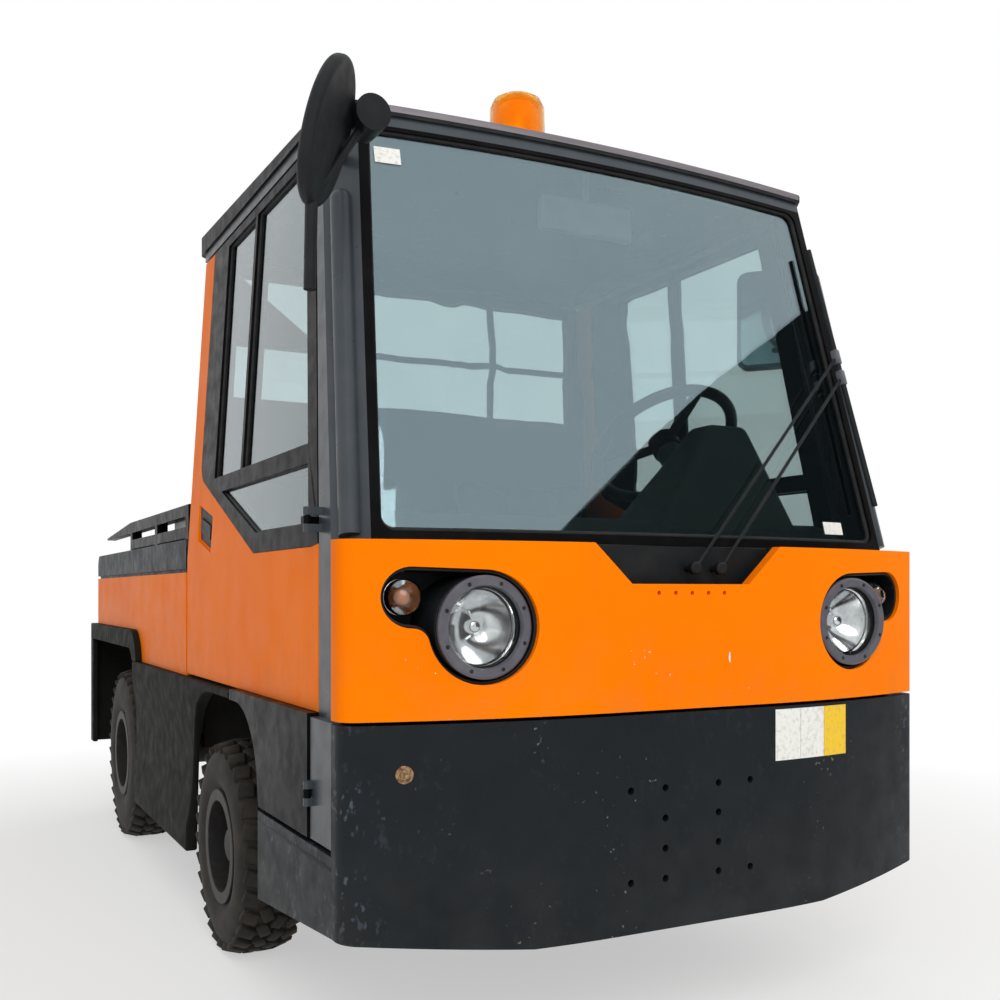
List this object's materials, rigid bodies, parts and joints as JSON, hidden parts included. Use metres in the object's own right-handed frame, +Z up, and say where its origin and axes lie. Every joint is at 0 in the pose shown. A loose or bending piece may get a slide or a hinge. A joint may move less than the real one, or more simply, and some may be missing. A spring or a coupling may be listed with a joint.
{
  "type": "electric tow tractor",
  "caption": "Electric tow tractor with enclosed two-seat cab, bowed steel bumper, steered front wheels, side doors, tilting deck cover with load rails and stepped tow jaw.",
  "frame": {"origin": "on the ground under the middle of the overall box", "axes": "+Z up, the front faces -Y, +X is the vehicle's left side"},
  "size_m": [1.446, 2.98, 2.003],
  "materials": {
    "orange_paint": "gloss",
    "anthracite_paint": "satin",
    "grey_plastic": "matte",
    "black_paint": "gloss",
    "pillar_paint": "satin",
    "chassis_steel": "satin",
    "tinted_glass": "clear",
    "lens_glass": "clear",
    "amber_lens": "gloss",
    "red_lens": "gloss",
    "reflector": "polished",
    "tyre_rubber": "matte",
    "rim_paint": "satin",
    "axle_iron": "matte",
    "black_plastic": "matte",
    "seat_cover": "matte",
    "battery_case": "matte",
    "coupling_steel": "satin"
  },
  "bodies": {
    "chassis": {"chassis_frame": "chassis_steel", "cab_floor": "chassis_steel", "front_bumper": "anthracite_paint", "front_panel": "orange_paint", "cowl": "black_plastic", "lamp_pods": "black_plastic", "headlamps": "reflector", "headlamp_lenses": "lens_glass", "turn_lamps": "lens_glass", "windscreen_frame": "black_paint", "windscreen": "tinted_glass", "cab_frame": "pillar_paint", "rear_wall": "anthracite_paint", "rear_window": "tinted_glass", "roof": "black_paint", "beacon_base": "black_plastic", "cab_mirror": "black_plastic", "beacon_dome": "amber_lens", "side_skirts": "grey_plastic", "rear_mudguards": "grey_plastic", "rear_body": "orange_paint", "battery": "battery_case", "rear_bumper": "anthracite_paint", "tow_coupling": "coupling_steel", "rear_lamps": "red_lens", "front_axle": "axle_iron", "rear_axle": "axle_iron", "dashboard": "black_plastic", "steering_column": "black_plastic", "seat_bases": "black_paint", "seats": "seat_cover", "mirror_right": "black_plastic", "wiper": "black_plastic"},
    "deck_lid": {"deck_lid": "anthracite_paint", "deck_rails": "black_paint"},
    "steering_wheel": {"steering_wheel": "black_plastic"},
    "door_left": {"door_panel_left": "orange_paint", "door_frame_left": "black_paint", "door_glass_left": "tinted_glass", "mirror_left": "black_plastic"},
    "door_right": {"door_panel_right": "orange_paint", "door_frame_right": "black_paint", "door_glass_right": "tinted_glass"},
    "knuckle_left": {"knuckle_left": "axle_iron"},
    "knuckle_right": {"knuckle_right": "axle_iron"},
    "wheel_front_left": {"tyre_front_left": "tyre_rubber", "rim_front_left": "rim_paint"},
    "wheel_front_right": {"tyre_front_right": "tyre_rubber", "rim_front_right": "rim_paint"},
    "wheel_rear_left": {"tyre_rear_left": "tyre_rubber", "rim_rear_left": "rim_paint"},
    "wheel_rear_right": {"tyre_rear_right": "tyre_rubber", "rim_rear_right": "rim_paint"}
  },
  "joints": [
    {"name": "door_left_hinge", "type": "hinge", "parent": "chassis", "child": "door_left", "pos_m": [0.654, -1.256, 0.62], "axis": [0, 0, -1], "range_deg": [0, 75]},
    {"name": "door_right_hinge", "type": "hinge", "parent": "chassis", "child": "door_right", "pos_m": [-0.654, -1.256, 0.62], "axis": [0, 0, 1], "range_deg": [0, 75]},
    {"name": "steer_right", "type": "hinge", "parent": "chassis", "child": "knuckle_right", "pos_m": [-0.44, -0.534, 0.245], "axis": [0, 0, 1], "range_deg": [-35, 35]},
    {"name": "steer_left", "type": "hinge", "parent": "chassis", "child": "knuckle_left", "pos_m": [0.44, -0.534, 0.245], "axis": [0, 0, 1], "range_deg": [-35, 35]},
    {"name": "steering_wheel_turn", "type": "hinge", "parent": "chassis", "child": "steering_wheel", "pos_m": [0.355, -0.914, 1.19], "axis": [0, 0.6428, 0.766], "range_deg": [-350, 350]},
    {"name": "wheel_front_right_spin", "type": "hinge", "parent": "knuckle_right", "child": "wheel_front_right", "pos_m": [-0.565, -0.534, 0.245], "axis": [1, 0, 0], "continuous": true},
    {"name": "wheel_front_left_spin", "type": "hinge", "parent": "knuckle_left", "child": "wheel_front_left", "pos_m": [0.565, -0.534, 0.245], "axis": [1, 0, 0], "continuous": true},
    {"name": "wheel_rear_right_spin", "type": "hinge", "parent": "chassis", "child": "wheel_rear_right", "pos_m": [-0.553, 0.856, 0.285], "axis": [1, 0, 0], "continuous": true},
    {"name": "wheel_rear_left_spin", "type": "hinge", "parent": "chassis", "child": "wheel_rear_left", "pos_m": [0.553, 0.856, 0.285], "axis": [1, 0, 0], "continuous": true},
    {"name": "deck_lid_hinge", "type": "hinge", "parent": "chassis", "child": "deck_lid", "pos_m": [0, 1.45, 0.887], "axis": [-1, 0, 0], "range_deg": [0, 70]}
  ],
  "couplings": [
    {"joint": "steer_left", "follows": "steer_right", "ratio": 1},
    {"joint": "steering_wheel_turn", "follows": "steer_right", "ratio": 10}
  ]
}
